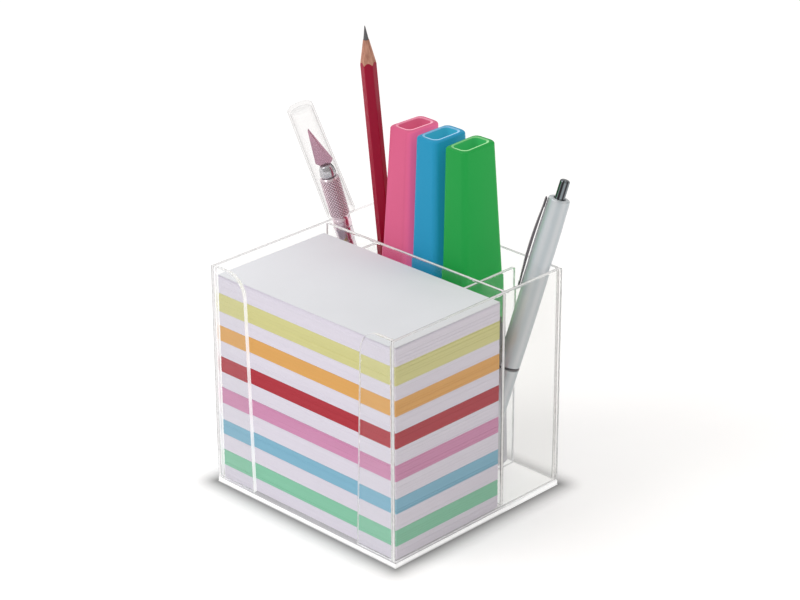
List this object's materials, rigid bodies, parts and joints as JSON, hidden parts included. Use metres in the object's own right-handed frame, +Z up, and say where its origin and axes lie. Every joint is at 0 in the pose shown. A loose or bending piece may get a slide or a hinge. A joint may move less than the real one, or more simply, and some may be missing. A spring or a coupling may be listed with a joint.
{
  "type": "note dispenser with pen holder",
  "caption": "Clear acrylic desk box: striped loose notes in a front bay with a finger cut-out, and pen compartments behind with a craft knife, a pencil, highlighters and a ballpoint.",
  "frame": {"origin": "centre of the base plate's underside, on the surface that the box stands on", "axes": "+Z up; -Y towards the front with the finger cut-out; +X to the right seen from the front, along the note stack's long side"},
  "size_m": [0.115, 0.1017, 0.1928],
  "materials": {
    "clear_acrylic": "clear polished acrylic",
    "clear_cap": "clear polished plastic",
    "paper_white": "uncoated loose sheets",
    "paper_yellow": "uncoated loose sheets",
    "paper_orange": "uncoated loose sheets",
    "paper_red": "uncoated loose sheets",
    "paper_pink": "uncoated loose sheets",
    "paper_blue": "uncoated loose sheets",
    "paper_green": "uncoated loose sheets",
    "paper_top": "uncoated sheet",
    "black_plastic": "satin",
    "knife_aluminium": "satin",
    "knife_knurled": "diamond knurled",
    "knife_steel": "turned",
    "blade_steel": "ground",
    "pencil_lacquer": "glossy dark red lacquer, bare wood at the point",
    "graphite": "sharpened graphite",
    "marker_pink": "satin",
    "marker_blue": "satin",
    "marker_green": "satin",
    "marker_black": "satin",
    "marker_pale": "satin",
    "marker_felt": "bonded felt",
    "pen_silver": "silver",
    "pen_chrome": "dark chrome",
    "pen_steel": "plain"
  },
  "bodies": {
    "holder": {"base_plate": "clear_acrylic", "left_side_wall": "clear_acrylic", "right_side_wall": "clear_acrylic", "back_wall": "clear_acrylic", "note_divider": "clear_acrylic", "left_pen_divider": "clear_acrylic", "right_pen_divider": "clear_acrylic", "front_tab_left": "clear_acrylic", "front_tab_right": "clear_acrylic", "notes_01_white": "paper_white", "notes_02_green": "paper_green", "notes_03_white": "paper_white", "notes_04_blue": "paper_blue", "notes_05_white": "paper_white", "notes_06_pink": "paper_pink", "notes_07_white": "paper_white", "notes_08_red": "paper_red", "notes_09_white": "paper_white", "notes_10_orange": "paper_orange", "notes_11_white": "paper_white", "notes_12_yellow": "paper_yellow", "notes_13_white": "paper_white"},
    "top_note": {"top_note": "paper_top"},
    "knife": {"knife_end_plug": "black_plastic", "knife_handle": "knife_aluminium", "knife_chuck": "knife_knurled", "knife_collet": "knife_steel", "knife_blade": "blade_steel"},
    "knife_cap": {"knife_cap": "clear_cap"},
    "pencil": {"pencil_casing": "pencil_lacquer", "pencil_lead": "graphite"},
    "marker_pink_cap": {"marker_pink_cap": "marker_pale"},
    "marker_pink": {"marker_pink_barrel": "marker_pink", "marker_pink_grip": "marker_black", "marker_pink_nib": "marker_felt", "marker_pink_reservoir": "marker_felt"},
    "marker_blue_cap": {"marker_blue_cap": "marker_pale"},
    "marker_blue": {"marker_blue_barrel": "marker_blue", "marker_blue_grip": "marker_black", "marker_blue_nib": "marker_felt", "marker_blue_reservoir": "marker_felt"},
    "marker_green_cap": {"marker_green_cap": "marker_pale"},
    "marker_green": {"marker_green_barrel": "marker_green", "marker_green_grip": "marker_black", "marker_green_nib": "marker_felt", "marker_green_reservoir": "marker_felt"},
    "ballpoint": {"pen_nose": "pen_silver", "pen_lower_barrel": "pen_silver", "pen_ring": "pen_chrome", "pen_upper_barrel": "pen_silver", "pen_clip": "pen_chrome", "pen_spring": "pen_steel"},
    "ballpoint_plunger": {"pen_button": "pen_chrome", "pen_refill": "pen_steel"}
  },
  "joints": [
    {"name": "top_note_peel", "type": "hinge", "parent": "holder", "child": "top_note", "pos_m": [0, 0.01305, 0.0955], "axis": [-1, 0, 0], "range_deg": [0, 60]},
    {"name": "knife_lift", "type": "slide", "parent": "holder", "child": "knife", "axis": [-0.1133, -0.2315, 0.9662], "range_m": [0, 0.11]},
    {"name": "knife_cap_pull", "type": "slide", "parent": "knife", "child": "knife_cap", "axis": [-0.1684, -0.2829, 0.9442], "range_m": [0, 0.05]},
    {"name": "pencil_lift", "type": "slide", "parent": "holder", "child": "pencil", "axis": [0, -0.1124, 0.9937], "range_m": [0, 0.11]},
    {"name": "marker_pink_lift", "type": "slide", "parent": "holder", "child": "marker_pink_cap", "axis": [0, 0, 1], "range_m": [0, 0.11]},
    {"name": "marker_pink_uncap", "type": "slide", "parent": "marker_pink_cap", "child": "marker_pink", "axis": [0.0089, 0.0164, 0.9998], "range_m": [0, 0.045]},
    {"name": "marker_blue_lift", "type": "slide", "parent": "holder", "child": "marker_blue_cap", "axis": [0, 0, 1], "range_m": [0, 0.11]},
    {"name": "marker_blue_uncap", "type": "slide", "parent": "marker_blue_cap", "child": "marker_blue", "axis": [-0.0055, -0.0082, 1], "range_m": [0, 0.045]},
    {"name": "marker_green_lift", "type": "slide", "parent": "holder", "child": "marker_green_cap", "axis": [0, 0, 1], "range_m": [0, 0.11]},
    {"name": "marker_green_uncap", "type": "slide", "parent": "marker_green_cap", "child": "marker_green", "axis": [-0.0096, -0.0233, 0.9997], "range_m": [0, 0.045]},
    {"name": "ballpoint_lift", "type": "slide", "parent": "holder", "child": "ballpoint", "axis": [0.1467, 0.2355, 0.9608], "range_m": [0, 0.11]},
    {"name": "ballpoint_plunger_slide", "type": "slide", "parent": "ballpoint", "child": "ballpoint_plunger", "axis": [0.1467, 0.2355, 0.9608], "range_m": [0, 0.0045]}
  ]
}
